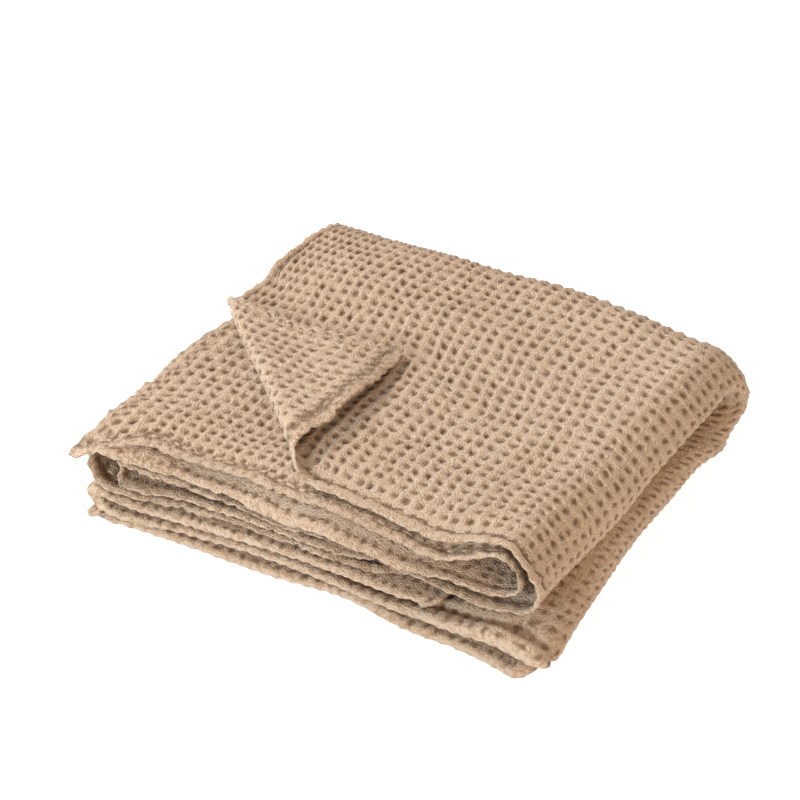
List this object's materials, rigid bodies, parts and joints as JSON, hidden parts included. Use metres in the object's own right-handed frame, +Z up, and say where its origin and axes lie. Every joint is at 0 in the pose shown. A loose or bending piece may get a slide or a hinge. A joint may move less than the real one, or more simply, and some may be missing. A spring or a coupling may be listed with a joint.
{
  "type": "folded waffle weave blanket",
  "caption": "Folded cotton blanket in a waffle weave, stacked in soft uneven plies with one front corner turned back over the top.",
  "frame": {"origin": "centre of the bounding box at its bottom, which is the middle of the surface the folded stack rests on", "axes": "+X along the front edge towards the side with the large rounded fold, +Y from the open front edges to the folded back, +Z up"},
  "size_m": [0.4564, 0.3988, 0.1187],
  "materials": {
    "undyed_cotton": "matte woven cotton in a deep waffle weave, undyed warm beige"
  },
  "bodies": {
    "root": {"blanket": "undyed_cotton"}
  },
  "joints": []
}
